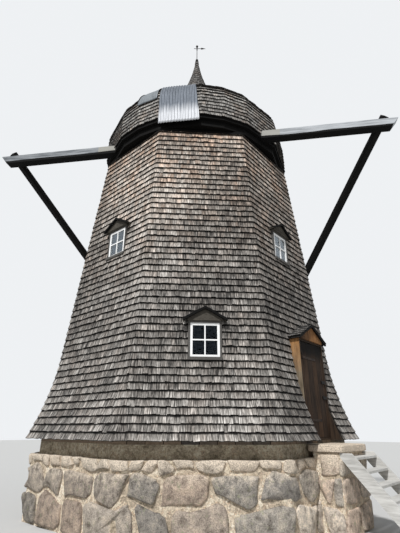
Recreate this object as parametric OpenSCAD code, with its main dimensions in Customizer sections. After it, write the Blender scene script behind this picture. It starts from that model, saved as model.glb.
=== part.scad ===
// Smock mill: an eight-sided shingled timber tower with a flared skirt on a fieldstone plinth.
// Its domed cap turns with a spreader beam, two braces and a tail pole. The sails are gone.
// Millimetres. Z is up, the ground is Z = 0 and the door side faces -Y.
// A side is named by its angle from the door side, counted towards +X.

/* [Plinth and floors] */
// Height of the skirt's lower edge and of the ground floor over the ground
skirt_height = 1500; // [1200:10:1900]
// Half the plinth's width across its flats
plinth_apothem = 3460; // [3350:10:3560]
// Height of the stone plinth
plinth_height = 1200; // [900:10:1200]
// Thickness of the floor boards
floor_thickness = 60; // [40:5:80]
// Height of the upper floor's boards over the ground floor
upper_floor_height = 2760; // [2600:10:3000]

/* [Tower] */
// Height of the tower's walls above the skirt's edge
wall_height = 7450; // [7000:10:7450]
// Half the tower's width across its flats, straight sides carried down to the skirt's edge
foot_apothem = 3298; // [3250:1:3350]
// How far the sides lean in for each unit of height
lean = 0.0921; // [0.085:0.0001:0.098]
// How far the skirt flares out beyond the straight sides
skirt_flare = 280; // [150:5:300]
// Height at which the flare starts
flare_height = 1700; // [1200:10:1900]
// Thickness of the boarded walls
wall_thickness = 170; // [120:5:200]

/* [Windows] */
// Width of a sash
sash_width = 580; // [500:5:620]
// Height of a sash
sash_height = 670; // [600:5:720]
// Thickness of a casing's boards
casing_board = 40; // [30:1:50]
// Lower edge of the lower sashes over the ground floor
lower_sill_height = 1455; // [1300:5:1500]
// Lower edge of the upper sashes over the ground floor
upper_sill_height = 3990; // [3900:5:4100]
// Sideways place of the upper windows on their walls
upper_window_shift = 120; // [0:5:160]
// Sideways place of the lower windows on their walls
lower_window_shift = 45; // [0:5:100]

/* [Door] */
// Width of the door leaf
leaf_width = 1000; // [900:5:1020]
// Height of the door leaf
leaf_height = 1880; // [1800:5:1900]
// Thickness of the door leaf
leaf_thickness = 45; // [35:1:55]
// Sideways place of the doorway's middle on its wall
door_shift = 110; // [0:5:140]
// Distance of the leaf's outer face from the tower's axis
leaf_plane = 3360; // [3340:5:3390]

/* [Stair] */
// Number of risers from the ground to the landing
riser_count = 7; // [6:1:8]
// Depth of a step
tread_run = 180; // [170:5:240]
// Width of the flight over its stringers
stair_width = 1150; // [1000:10:1250]

/* [Cap] */
// Angle of the cap's front from the door side
cap_turn = -57.3; // [-180:0.1:180]
// Radius of the cap's boarded wall at its ribs
cap_radius = 2870; // [2830:5:2930]
// Height of the cap's upright wall
cap_wall_height = 790; // [700:10:860]
// Radius of the cap's rounded shoulder
shoulder_radius = 860; // [780:10:980]
// Thickness of the cap's boarding and ribs
cap_thickness = 90; // [70:5:110]
// Height of the spire
spire_height = 2550; // [2300:10:2700]

/* [Beam and tail] */
// Half the length of the spreader beam
beam_half_length = 5850; // [5400:10:6000]
// Height of the spreader beam's section
beam_height = 260; // [220:5:300]
// Depth of the spreader beam's section
beam_depth = 240; // [200:5:280]
// Distance of the beam's front face from the cap's axis
beam_offset = 1800; // [1650:10:1900]
// Side of a square brace
brace_size = 165; // [140:5:180]
// Side of the square tail pole
tail_size = 210; // [180:5:230]
// Distance of the tail pole's lower end from the axis
tail_reach = 7000; // [6600:10:7400]

/* [Weather vane] */
// Height of the vane's arm over the spire's tip
vane_height = 640; // [500:10:750]
// Length of the vane's arm to its point
vane_length = 350; // [300:5:420]

/* [Hidden] */

oak = [0.42, 0.37, 0.31];
shingle = [0.37, 0.33, 0.29];
stone = [0.56, 0.50, 0.45];
dark_timber = [0.16, 0.15, 0.14];
grey_timber = [0.50, 0.49, 0.46];
white_paint = [0.90, 0.90, 0.88];
zinc = [0.62, 0.65, 0.68];
iron = [0.12, 0.12, 0.12];

eighth = 22.5;
far = 9000;
// Hair's breadth left where one piece stands on or against another
seat = 0.1;

// Tower shape

flare_steps = 8;
sill_width = 260;
wall_top = skirt_height + wall_height;

function straight_side(z) = foot_apothem - lean * z;
function flare_out(z) = skirt_flare * pow(max(0, 1 - z / flare_height), 2);
function outer_side(z) = straight_side(z) + flare_out(z);
function inner_side(z) = straight_side(z) - wall_thickness;

outer_line = concat(
    [for (i = [0:flare_steps]) let (z = flare_height * i / flare_steps) [outer_side(z), z]],
    [[outer_side(wall_height), wall_height]]
);
wall_outline = concat(outer_line, [[inner_side(wall_height), wall_height], [inner_side(0), 0]]);
body_outline = concat(outer_line, [[0, wall_height], [0, 0]]);

// Turns to a side of the tower: -Y points out of the wall and X runs along it.
module on_side(angle) {
    rotate([0, 0, angle]) children();
}

// Extrudes an outline of distance from the axis and height along a wall.
module along_wall(outline, width) {
    rotate([90, 0, -90]) linear_extrude(height = width, center = true) polygon(outline);
}

// The slice of space between two corners of a many-sided plan.
module slice(half_angle) {
    reach = far * tan(half_angle);
    translate([0, 0, -1]) linear_extrude(height = 2 * far) polygon([[0, 0], [-reach, -far], [reach, -far]]);
}

module eight_sided(apothem, height) {
    rotate([0, 0, eighth]) cylinder(h = height, r = apothem / cos(eighth), $fn = 8);
}

module wall_side(outline) {
    translate([0, 0, skirt_height]) intersection() {
        along_wall(outline, far);
        slice(eighth);
    }
}

module plain_wall(angle) {
    color(shingle) difference() {
        on_side(angle) wall_side(wall_outline);
        for (w = windows) if (w[0] == angle) window_hole(w);
    }
}

// Plinth, landing and stair

sill_height = skirt_height - floor_thickness - plinth_height;
sill_apothem = 3330;
pier_inset = 60;
landing_drop = 60;
landing_thickness = 140;
landing_width = 1300;
landing_front = 4050;
pier_front = 3960;
landing_top = skirt_height - landing_drop;
slab_base = landing_top - landing_thickness;
riser = landing_top / riser_count;
tread_board = 38;
stringer_board = 48;
stringer_depth = 210;

module plinth() {
    color(stone) eight_sided(plinth_apothem, plinth_height);
}

module landing_pier() {
    color(stone)
    translate([door_shift - landing_width / 2 + pier_inset, -pier_front, 0])
    cube([landing_width - 2 * pier_inset, pier_front - plinth_apothem - seat, slab_base - seat]);
}

module landing_slab() {
    color(stone)
    translate([door_shift - landing_width / 2, -landing_front, slab_base])
    cube([landing_width, landing_front - sill_apothem - seat, landing_thickness]);
}

tread_nosing = 40;
stringer_slope = tread_run / riser;
stringer_foot = landing_front + tread_run * riser_count;
stringer_head = stringer_foot - slab_base * stringer_slope;

// A plank on edge that leans on the pier and stops level under the slab.
module stringer() {
    cut = stringer_depth / cos(atan(stringer_slope));
    low = (stringer_foot - cut - pier_front) / stringer_slope;
    along_wall([
        [pier_front + seat, slab_base - seat], [pier_front + seat, low], [stringer_foot - cut, 0],
        [stringer_foot, 0], [stringer_head, slab_base - seat]
    ], stringer_board);
}

module stair_stringers() {
    color(grey_timber)
    for (end = [-1, 1])
    translate([door_shift + end * (stair_width - stringer_board) / 2, 0, 0]) stringer();
}

module stair_treads() {
    color(grey_timber)
    for (step = [1:riser_count - 1])
    translate([
        door_shift - stair_width / 2 + stringer_board,
        -landing_front - tread_run * (riser_count - step),
        riser * step - tread_board
    ])
    cube([stair_width - 2 * stringer_board, tread_run + tread_nosing, tread_board]);
}

// Sill, floors and curb

module sill_ring() {
    color(stone) translate([0, 0, plinth_height + seat]) difference() {
        eight_sided(sill_apothem, sill_height - 2 * seat);
        translate([0, 0, -1]) eight_sided(sill_apothem - sill_width, sill_height + 2);
    }
}

module ground_floor() {
    color(oak) translate([0, 0, skirt_height - floor_thickness]) eight_sided(sill_apothem, floor_thickness);
}

module upper_floor() {
    color(oak)
    translate([0, 0, skirt_height + upper_floor_height - floor_thickness])
    eight_sided(inner_side(upper_floor_height), floor_thickness);
}

curb_height = 100;
curb_radius = 2200;
curb_set_back = 10;

module curb_ring() {
    color(oak) translate([0, 0, wall_top + seat]) difference() {
        eight_sided(outer_side(wall_height) - curb_set_back, curb_height);
        translate([0, 0, -1]) cylinder(h = curb_height + 2, r = curb_radius, $fn = 96);
    }
}

// Windows: angle of the side, sideways place, lower edge of the sash, front of the casing

casing_out = 35;
upper_front = outer_side(upper_sill_height) + casing_out;
lower_front = outer_side(lower_sill_height) + casing_out;
upper_windows = [for (angle = [-90:90:180])
    [angle, angle % 180 == 0 ? -upper_window_shift : upper_window_shift, upper_sill_height, upper_front]];
lower_windows = [for (angle = [-45, 135]) [angle, lower_window_shift, lower_sill_height, lower_front]];
windows = concat(upper_windows, lower_windows);

casing_depth = 260;
sash_rail = 48;
sash_thickness = 42;
glazing_bar = 24;
sash_set_back = 8;
pane_thickness = 4;
sill_board = 55;
sill_out = 45;
hood_half = 430;
hood_rise = 240;
hood_out = 95;
hood_board = 28;

module at_window(w) {
    on_side(w[0]) translate([w[1], -w[3], skirt_height + w[2]]) children();
}

// Upright rectangle centred on the window, cut back from the casing's front.
module window_block(width, low, high, front, back) {
    translate([-width / 2, front, low]) cube([width, back - front, high - low]);
}

casing_width = sash_width + 2 * casing_board;
casing_height = sash_height + casing_board;

module window_hole(w) {
    at_window(w) window_block(casing_width, -sill_board, casing_height, -sill_out, 2 * casing_depth);
}

module casing() {
    difference() {
        union() {
            window_block(casing_width, -sill_board, casing_height, 0, casing_depth);
            window_block(casing_width, -sill_board, 0, -sill_out, casing_out);
        }
        window_block(sash_width, 0, sash_height, -sill_out, 2 * casing_depth);
    }
}

module sash() {
    light_width = (sash_width - 2 * sash_rail - glazing_bar) / 2;
    light_height = (sash_height - 2 * sash_rail - glazing_bar) / 2;
    side_step = (light_width + glazing_bar) / 2;
    upper_step = light_height + glazing_bar;
    difference() {
        window_block(sash_width, 0, sash_height, sash_set_back, sash_set_back + sash_thickness);
        for (column = [-1, 1])
        for (row = [0, 1])
        translate([column * side_step, 0, sash_rail + row * upper_step])
        window_block(light_width, 0, light_height, 0, 2 * sash_thickness + sash_set_back);
        pane_gap();
    }
}

// The thin slot in the sash that the glass fills.
module pane_gap() {
    middle = sash_set_back + sash_thickness / 2;
    window_block(
        sash_width - sash_rail, sash_rail / 2, sash_height - sash_rail / 2,
        middle - pane_thickness / 2, middle + pane_thickness / 2
    );
}

// Upright measure of a roof board of a given thickness on a gable's slope.
function board_edge(board, rise, half_width) = board / cos(atan(rise / half_width));

// A gabled roof of two boards over a closed triangle, cut off at the wall behind it.
module gable(half_width, rise, board, out, depth) {
    edge = board_edge(board, rise, half_width);
    filled = 0.8 * half_width;
    shoulder = rise - rise * filled / half_width + edge / 2;
    boards = [
        [-half_width, 0], [0, rise], [half_width, 0],
        [half_width, edge], [0, rise + edge], [-half_width, edge]
    ];
    infill = [[-filled, 0], [filled, 0], [filled, shoulder], [0, rise + edge / 2], [-filled, shoulder]];
    translate([0, depth - out, -edge]) rotate([90, 0, 0]) {
        linear_extrude(height = depth) polygon(boards);
        linear_extrude(height = depth - out / 2) polygon(infill);
    }
}

module window_casings() {
    color(dark_timber) for (w = windows) at_window(w) casing();
}

module window_sashes() {
    color(white_paint) for (w = windows) at_window(w) sash();
}

module window_panes() {
    color([0.35, 0.42, 0.48, 0.5]) for (w = windows) at_window(w) pane_gap();
}

module window_hoods() {
    color(shingle)
    for (w = windows)
    difference() {
        at_window(w)
        translate([0, 0, casing_height + board_edge(hood_board, hood_rise, hood_half)])
        gable(hood_half, hood_rise, hood_board, hood_out, 2 * casing_depth);
        on_side(w[0]) wall_side(body_outline);
        at_window(w) window_block(casing_width, 0, casing_height, 0, casing_depth);
    }
}

// Door

jamb = 42;
door_gap = 6;
threshold = 40;
threshold_out = 10;
head_height = threshold + leaf_height + 3 * door_gap;
opening_half = leaf_width / 2 + door_gap;
casing_half = opening_half + jamb;
leaf_set_back = 12;
casing_plane = leaf_plane + leaf_set_back;
door_hood_half = 610;
door_hood_rise = 330;
door_hood_out = 75;
door_hood_depth = 900;
door_hood_board = 32;
door_foot = skirt_height + threshold + door_gap;
casing_top = head_height + jamb;

// Height at which the flared wall passes behind the casing's plane.
flare_rate = skirt_flare / pow(flare_height, 2);
flare_slope = 2 * skirt_flare / flare_height + lean;
flare_excess = foot_apothem + skirt_flare - casing_plane;
jamb_meets = (flare_slope - sqrt(pow(flare_slope, 2) - 4 * flare_rate * flare_excess)) / (2 * flare_rate);

module at_door() {
    on_side(0) translate([door_shift, 0, skirt_height]) children();
}

module doorway() {
    at_door() translate([-casing_half, -far, 0]) cube([2 * casing_half, far, casing_top]);
}

// Outline of a jamb board: it lines the cut skirt below and stands out of the wall above.
jamb_outline = concat(
    [for (p = outer_line) if (p[0] > casing_plane) p],
    [[casing_plane, jamb_meets], [casing_plane, casing_top]],
    [[inner_side(casing_top), casing_top], [inner_side(0), 0]]
);

module door_casing() {
    color(grey_timber) at_door() {
        for (end = [-1, 1])
        translate([end * (opening_half + jamb / 2), 0, 0]) along_wall(jamb_outline, jamb);
        translate([-opening_half, -casing_plane, head_height])
        cube([2 * opening_half, casing_plane - inner_side(head_height), jamb]);
        translate([-opening_half, -leaf_plane - threshold_out, 0])
        cube([2 * opening_half, leaf_plane + threshold_out - inner_side(0), threshold]);
    }
}

module door_wall_cut(low_x, high_x, low_z, high_z) {
    translate([low_x, -far, skirt_height + low_z]) cube([high_x - low_x, far, high_z - low_z]);
}

module door_wall() {
    difference() {
        wall_side(wall_outline);
        for (w = upper_windows) if (w[0] == 0) window_hole(w);
        doorway();
    }
}

module door_wall_left() {
    color(shingle) intersection() {
        door_wall();
        door_wall_cut(-far, door_shift - casing_half, 0, casing_top);
    }
}

module door_wall_right() {
    color(shingle) intersection() {
        door_wall();
        door_wall_cut(door_shift + casing_half, far, 0, casing_top);
    }
}

module door_wall_over() {
    color(shingle) intersection() {
        door_wall();
        door_wall_cut(-far, far, casing_top, wall_height);
    }
}

module door_hood() {
    edge = board_edge(door_hood_board, door_hood_rise, door_hood_half);
    color(shingle) difference() {
        at_door()
        translate([0, -casing_plane, casing_top + seat + edge])
        gable(door_hood_half, door_hood_rise, door_hood_board, door_hood_out, door_hood_depth);
        wall_side(body_outline);
    }
}

pintle_radius = 9;
pintle_length = 120;
pintle_heights = [330, 1560];
bearing_height = 24;
bearing_radius = 14;
bracket_width = 16;
bracket_height = 20;
knuckle_radius = 17;
pin_set_in = 16;
pin_set_out = 20;
pin_x = door_shift - leaf_width / 2 + pin_set_in;
pin_y = -leaf_plane - pin_set_out;

// Two hooks that stand on plates let into the left jamb.
module door_pintles() {
    color(iron)
    for (z = pintle_heights)
    translate([0, 0, skirt_height + z]) {
        translate([pin_x, pin_y, 0]) cylinder(h = pintle_length, r = pintle_radius, $fn = 32);
        translate([pin_x, pin_y, -bearing_height])
        cylinder(h = bearing_height, r = bearing_radius, $fn = 32);
        translate([door_shift - opening_half, pin_y - bracket_width / 2, -bearing_height])
        cube([pin_x - door_shift + opening_half, bracket_width, bracket_height]);
    }
}

module door_leaf() {
    color(oak)
    translate([door_shift - leaf_width / 2, -leaf_plane, door_foot])
    cube([leaf_width, leaf_thickness, leaf_height]);
}

strap_length = 640;
strap_height = 50;
strap_thickness = 6;
strap_lift = 10;
strap_play = 1;

module door_straps() {
    color(iron)
    for (z = pintle_heights)
    translate([0, 0, skirt_height + z + strap_lift])
    difference() {
        union() {
            translate([pin_x, pin_y, 0]) cylinder(h = strap_height, r = knuckle_radius, $fn = 32);
            translate([pin_x, -leaf_plane - strap_thickness, 0])
            cube([strap_length, strap_thickness, strap_height]);
        }
        translate([pin_x, pin_y, -strap_height])
        cylinder(h = 3 * strap_height, r = pintle_radius + strap_play, $fn = 32);
    }
}

lock_size = [170, 22, 60];
lock_heights = [790, 1110];
lock_set_in = 20;

// A box handle and a hasp with its lock near the leaf's free edge.
module door_lock() {
    color(iron)
    for (z = lock_heights)
    translate([
        door_shift + leaf_width / 2 - lock_set_in - lock_size[0],
        -leaf_plane - lock_size[1],
        skirt_height + z
    ])
    cube(lock_size);
}

// Cap: angles of its ribs from the cap's front

rib_gap = 0.002;
front_ribs = [-38, -24.5, -12, 12, 24.5, 38];
side_ribs = [38 + rib_gap, 62.5, 90, 117.5, 142 - rib_gap];
cap_base = 7750;
shoulder_steps = 5;
shoulder_turn = 47;
roof_top = [800, 10900];
roof_steps = 5;
shoulder_foot = cap_base + cap_wall_height;
shoulder_centre = cap_radius - shoulder_radius;
shoulder_end = [
    shoulder_centre + shoulder_radius * cos(shoulder_turn),
    shoulder_foot + shoulder_radius * sin(shoulder_turn)
];
roof_bow = [1650, 9950];

function shoulder_point(i, inset) = let (turn = shoulder_turn * i / shoulder_steps) [
    shoulder_centre + (shoulder_radius - inset) * cos(turn),
    shoulder_foot + (shoulder_radius - inset) * sin(turn)
];
// The roof above the shoulder is a soft hollow curve up to the spire.
function roof_point(i) = let (t = i / roof_steps)
    pow(1 - t, 2) * shoulder_end + 2 * t * (1 - t) * roof_bow + t * t * roof_top;
roof_tilt = 44;
roof_inset = cap_thickness * [-sin(roof_tilt), -cos(roof_tilt)];

cap_outer = concat(
    [[cap_radius, cap_base]],
    [for (i = [0:shoulder_steps]) shoulder_point(i, 0)],
    [for (i = [1:roof_steps]) roof_point(i)]
);
cap_inner = concat(
    [[cap_radius - cap_thickness, cap_base]],
    [for (i = [0:shoulder_steps]) shoulder_point(i, cap_thickness)],
    [for (i = [1:roof_steps - 1]) roof_point(i) + roof_inset],
    [roof_top - [cap_thickness / cos(roof_tilt), 0]]
);

function half_turned(angles) = [for (a = angles) a + 180];

module turned_cap() {
    rotate([0, 0, cap_turn]) children();
}

// A shell of flat facets: its outer and inner lines of distance and height stand at every rib.
module ribbed_shell(angles, outer, inner) {
    m = len(outer);
    n = 2 * m;
    last = (len(angles) - 1) * n;
    outline = concat(outer, [for (j = [m - 1:-1:0]) inner[j]]);
    points = [for (a = angles) for (p = outline) [p[0] * sin(a), -p[0] * cos(a), p[1]]];
    facets = [
        for (i = [0:n:last - n]) for (j = [0:n - 1]) let (k = (j + 1) % n)
        [i + j, i + k, i + n + k, i + n + j]
    ];
    first_end = [for (j = [0:m - 2]) [n - 1 - j, n - 2 - j, j + 1, j]];
    last_end = [for (j = [0:m - 2]) [last + j, last + j + 1, last + n - 2 - j, last + n - 1 - j]];
    translate([0, 0, skirt_height]) polyhedron(points, concat(facets, first_end, last_end));
}

beam_base = cap_base - 10;

module beam_block(drop = 0) {
    translate([-beam_half_length, -beam_offset, skirt_height + beam_base - drop])
    cube([2 * beam_half_length, beam_depth, beam_height + drop]);
}

tail_head = [2500, 8800];
tail_foot_height = 600;
tail_slope = atan((tail_head[1] + skirt_height - tail_foot_height) / (tail_reach - tail_head[0]));
tail_length = norm([tail_reach - tail_head[0], tail_head[1] + skirt_height - tail_foot_height]);

module tail_timber() {
    translate([0, tail_head[0], skirt_height + tail_head[1]])
    rotate([-tail_slope, 0, 0])
    translate([-tail_size / 2, 0, -tail_size / 2])
    cube([tail_size, tail_length, tail_size]);
}

module cap_quarter(angles) {
    color(shingle) turned_cap() difference() {
        ribbed_shell(angles, cap_outer, cap_inner);
        beam_block(beam_height);
        tail_timber();
    }
}

module cap_front() {
    cap_quarter(front_ribs);
}

module cap_right() {
    cap_quarter(side_ribs);
}

module cap_back() {
    cap_quarter(half_turned(front_ribs));
}

module cap_left() {
    cap_quarter(half_turned(side_ribs));
}

ring_gap = 15;
ring_base = wall_height + curb_height + ring_gap;
ring_top = cap_base + 60;
ring_inner = 2330;
ring_outer = cap_radius - cap_thickness - seat;
ring_ribs = concat(front_ribs, [62.5, 90, 117.5, 142]);

// The timber ring that the cap's boarding is nailed round; the beam is let into it.
module cap_ring() {
    color(dark_timber) turned_cap() difference() {
        translate([0, 0, skirt_height + ring_base])
        linear_extrude(height = ring_top - ring_base)
        difference() {
            for (turn = [0, 180])
            rotate(turn) polygon([[0, 0], for (a = ring_ribs) ring_outer * [sin(a), -cos(a)]]);
            circle(r = ring_inner, $fn = 96);
        }
        beam_block(seat);
    }
}

widest_bay = 27.5;
spire_base = roof_top[1];
spire_foot = roof_top[0] * cos(widest_bay / 2);
spire_tip = 45;
spire_steps = 12;
spire_hollow = 1.6;

// The spire narrows fast at its foot and slowly towards its tip.
function spire_radius(t) = spire_tip + (spire_foot - spire_tip) * pow(1 - t, spire_hollow);

module spire() {
    color(shingle) translate([0, 0, skirt_height + spire_base + seat])
    rotate_extrude($fn = 64)
    polygon(concat(
        [[0, 0]],
        [for (i = [0:spire_steps]) let (t = i / spire_steps) [spire_radius(t), spire_height * t]],
        [[0, spire_height]]
    ));
}

// Sheets of metal over the cap's front

sheet_thickness = 8;
sheet_hang = 120;
sheet_top = 9;
hanging_edge = [[cap_radius, cap_base - sheet_hang]];

// A sheet lies on the boards from one point of their line to the sheet's top edge.
module roof_sheet(from, ribs, edge = []) {
    line = concat(edge, [for (i = [from:sheet_top]) cap_outer[i]]);
    under = [for (p = line) p + [seat, seat]];
    over = [for (p = line) p + [sheet_thickness, 0.6 * sheet_thickness]];
    color(zinc) turned_cap() ribbed_shell(ribs, over, under);
}

module ribbed_sheet() {
    roof_sheet(0, [front_ribs[2] + rib_gap, front_ribs[3]], hanging_edge);
}

module smooth_sheet() {
    roof_sheet(1, [front_ribs[1], front_ribs[2]]);
}

// Beam, braces and tail pole

beam_end_slope = 38;

// The beam's ends are sawn on the slope, with the longer edge on top.
module spreader_beam() {
    reach = 4 * beam_height;
    color(dark_timber) turned_cap() difference() {
        beam_block();
        for (end = [-1, 1])
        translate([end * beam_half_length, 0, skirt_height + beam_base + beam_height])
        rotate([0, end * beam_end_slope, 0])
        translate([(end - 1) * reach / 2, -2 * beam_offset, -reach])
        cube([reach, 2 * beam_offset, 2 * reach]);
    }
}

brace_top = [5350, -1470, 7850];
brace_foot = [0, 6700, 1150 - skirt_height];
brace_over = 430;

// A square timber from one point to another.
module timber(from, to, size) {
    span = to - from;
    flat = norm([span[0], span[1]]);
    translate(from)
    rotate([0, atan2(-span[2], flat), atan2(span[1], span[0])])
    translate([0, -size / 2, -size / 2])
    cube([norm(span), size, size]);
}

module braces() {
    color(dark_timber) turned_cap()
    for (end = [-1, 1])
    difference() {
        top = [end * brace_top[0], brace_top[1], brace_top[2]];
        span = top - brace_foot;
        translate([0, 0, skirt_height])
        timber(top + span * brace_over / norm(span), brace_foot, brace_size);
        beam_block();
        tail_timber();
        translate([-(end + 1) * far, 0, 0]) cube([2 * far, far, 2 * far]);
    }
}

module tail_pole() {
    color(dark_timber) turned_cap() tail_timber();
}

// Weather vane

rod_radius = 12;
rod_foot = skirt_height + spire_base + spire_height + seat;
vane_z = rod_foot + vane_height;
sleeve_length = 130;
sleeve_radius = 20;
sleeve_play = 2;
collar_height = 12;
collar_gap = 8;
knob_radius = 45;
arm_thickness = 14;
arrow_length = 192;
arrow_half = 55;
arrow_plate = 4;
vane_tail = 120;
vane_turn = -48.8;

module vane_rod() {
    half = sleeve_length / 2 + collar_gap;
    color(iron) {
        translate([0, 0, rod_foot])
        cylinder(h = vane_height + half + knob_radius, r = rod_radius, $fn = 24);
        translate([0, 0, vane_z - half - collar_height])
        cylinder(h = collar_height, r = sleeve_radius, $fn = 24);
        translate([0, 0, vane_z + half + knob_radius]) sphere(r = knob_radius, $fn = 32);
    }
}

module vane() {
    color(iron) translate([0, 0, vane_z]) rotate([0, 0, vane_turn]) difference() {
        union() {
            translate([0, 0, -sleeve_length / 2]) cylinder(h = sleeve_length, r = sleeve_radius, $fn = 24);
            translate([-vane_tail, -arm_thickness / 2, -arm_thickness / 2])
            cube([vane_tail + vane_length - arrow_length / 2, arm_thickness, arm_thickness]);
            translate([vane_length - arrow_length, -arrow_plate / 2, 0]) rotate([-90, 0, 0])
            linear_extrude(height = arrow_plate)
            polygon([[0, -arrow_half], [arrow_length, 0], [0, arrow_half]]);
        }
        translate([0, 0, -sleeve_length])
        cylinder(h = 2 * sleeve_length, r = rod_radius + sleeve_play, $fn = 24);
    }
}

plinth();
landing_pier();
landing_slab();
stair_stringers();
stair_treads();
sill_ring();
ground_floor();
upper_floor();
door_wall_left();
door_wall_right();
door_wall_over();
plain_wall(45);  // right_front_wall
plain_wall(90);  // right_wall
plain_wall(135);  // right_back_wall
plain_wall(180);  // back_wall
plain_wall(225);  // left_back_wall
plain_wall(-90);  // left_wall
plain_wall(-45);  // left_front_wall
curb_ring();
window_casings();
window_sashes();
window_panes();
window_hoods();
door_casing();
door_hood();
door_pintles();
door_leaf();
door_straps();
door_lock();
cap_ring();
cap_front();
cap_right();
cap_back();
cap_left();
spire();
ribbed_sheet();
smooth_sheet();
spreader_beam();
braces();
tail_pole();
vane_rod();
vane();
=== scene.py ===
import bmesh
import bpy
import mathutils
import numpy as np
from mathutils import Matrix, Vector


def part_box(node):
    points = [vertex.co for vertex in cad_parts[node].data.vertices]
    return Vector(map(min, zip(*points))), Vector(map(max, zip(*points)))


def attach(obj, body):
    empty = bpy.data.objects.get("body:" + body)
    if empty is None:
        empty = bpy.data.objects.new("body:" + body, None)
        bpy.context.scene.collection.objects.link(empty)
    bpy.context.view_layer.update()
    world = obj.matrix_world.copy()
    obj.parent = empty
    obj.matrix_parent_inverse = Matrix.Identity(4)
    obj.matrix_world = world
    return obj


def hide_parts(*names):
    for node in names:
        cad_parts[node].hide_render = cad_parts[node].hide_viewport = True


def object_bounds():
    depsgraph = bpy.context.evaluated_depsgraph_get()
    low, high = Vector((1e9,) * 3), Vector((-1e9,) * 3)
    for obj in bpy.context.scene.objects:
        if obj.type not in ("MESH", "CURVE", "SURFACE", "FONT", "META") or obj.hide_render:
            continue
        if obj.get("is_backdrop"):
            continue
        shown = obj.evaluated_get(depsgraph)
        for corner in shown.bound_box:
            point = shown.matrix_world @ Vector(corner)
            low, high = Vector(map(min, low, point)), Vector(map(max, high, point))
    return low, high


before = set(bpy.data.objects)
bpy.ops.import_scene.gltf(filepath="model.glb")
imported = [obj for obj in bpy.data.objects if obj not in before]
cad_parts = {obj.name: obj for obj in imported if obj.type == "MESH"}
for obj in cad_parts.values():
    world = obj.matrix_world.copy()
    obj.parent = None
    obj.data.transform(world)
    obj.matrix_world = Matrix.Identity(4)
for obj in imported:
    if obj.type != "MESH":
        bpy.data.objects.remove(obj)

CAD_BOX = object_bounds()

# The tower, in metres. Heights count from the skirt's lower edge, distances from the axis and angles from
# the door side. A wall stands at WALL_OUT and leans in by WALL_LEAN a metre. TRIM is a casing's reach past
# its window

SKIRT = 1.5
HALF_SIDE = np.radians(22.5)
WALL_OUT, WALL_LEAN = 3.298, 0.0921
FLARE, FLARE_TOP = 0.28, 1.7
TOWER_TOP = 7.5
PLINTH = 3.46
TRIM = 0.04

# Each window is its side's angle, its middle along the side and its sill's height
WINDOW_SIZE = (0.58, 0.67)
WINDOWS = [(angle, -0.12 if angle % 180 == 0 else 0.12, 3.99) for angle in (-90, 0, 90, 180)]
WINDOWS += [(-45, 0.045, 1.455), (135, 0.045, 1.455)]

# The door's hood is measured from the ground, its opening from the skirt's edge
DOOR_MIDDLE = 0.11
DOOR_HALF, DOOR_TOP = 0.549, 1.99
DOOR_HOOD_HALF, DOOR_HOOD_FOOT, DOOR_HOOD_RISE = 0.61, 3.48, 0.33

# The cap, its heights from the skirt's edge too. Its angles count from the facet under the ribbed sheet
CAP_TURN = np.radians(-57.3)
CAP_RIBS = np.radians([-38, -24.5, -12, 12, 24.5, 38, 62.5, 90, 117.5])
CAP_OUT, CAP_FOOT, CAP_WALL_TOP = 2.87, 7.75, 8.54
SHOULDER_RADIUS, SHOULDER_TURN = 0.86, 47
ROOF_BOW = (1.65, 9.95)
SPIRE_OUT, SPIRE_FOOT, SPIRE_RISE = 0.8, 10.9, 2.55
SHEET_HANG = 0.12
FIRST_CAP_BUTT, CAP_COURSE = 0.10, 0.116

# The middle and the half width of the sheets' facets in degrees
FACETS = {"ribbed_sheet": (0.0, 12.0), "smooth_sheet": (-18.25, 6.25)}

# Holes for the beam's arms and the tail pole by their facet's middle, as left, right, low and high edges
CAP_HOLES = {50.25: (-0.05, 0.34, 0.0, 0.265), 180.0: (-0.115, 0.115, 0.0, 0.52),
             309.75: (-0.34, 0.05, 0.0, 0.265)}

# How far a shingle's under and upper face stand off the boards, at its butt and at its hidden tip
BUTT_LIFT = np.array([[0.022], [0.050]])
TIP_LIFT = (0.001, 0.006)


# Outlines

def tower_line():
    """The tower's boarding: leans in evenly, and under the flare's top adds a flare that grows as the
    square of the depth. Gives the height over the skirt, which serves as its run, the distance from the
    axis and the height over the ground."""
    hang, steps = 0.05, 152
    z = np.linspace(-hang, TOWER_TOP, steps)
    out = WALL_OUT - WALL_LEAN * z + FLARE * np.clip(1 - z / FLARE_TOP, 0, None) ** 2
    return z, out, z + SKIRT


def cap_line():
    """The cap's outline at a rib: upright wall, round shoulder, then a hollow curve to the spire. Its run
    counts from the boards' lower edge and starts lower down, where the ribbed sheet hangs to."""
    turn = np.radians(np.linspace(0, SHOULDER_TURN, 15))
    centre = np.array([[CAP_OUT - SHOULDER_RADIUS], [CAP_WALL_TOP]])
    shoulder = centre + SHOULDER_RADIUS * np.stack([np.cos(turn), np.sin(turn)])
    t = np.linspace(0, 1, 15)[1:]
    start, bow, end = shoulder[:, -1:], np.array([ROOF_BOW]).T, np.array([[SPIRE_OUT], [SPIRE_FOOT]])
    roof = (1 - t) ** 2 * start + 2 * t * (1 - t) * bow + t * t * end
    wall = [[CAP_OUT, CAP_OUT], [CAP_FOOT - SHEET_HANG, CAP_FOOT]]
    line = np.concatenate([wall, shoulder, roof], axis=1)
    run = np.concatenate([[0], np.cumsum(np.hypot(*np.diff(line)))]) - SHEET_HANG
    return run, line[0], line[1] + SKIRT


def line_slope(run, out, height):
    """The direction of an outline at each of its points, as a step out and up of length one."""
    slope = np.gradient(np.stack([out, height]), run, axis=1)
    return slope / np.hypot(*slope)


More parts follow.
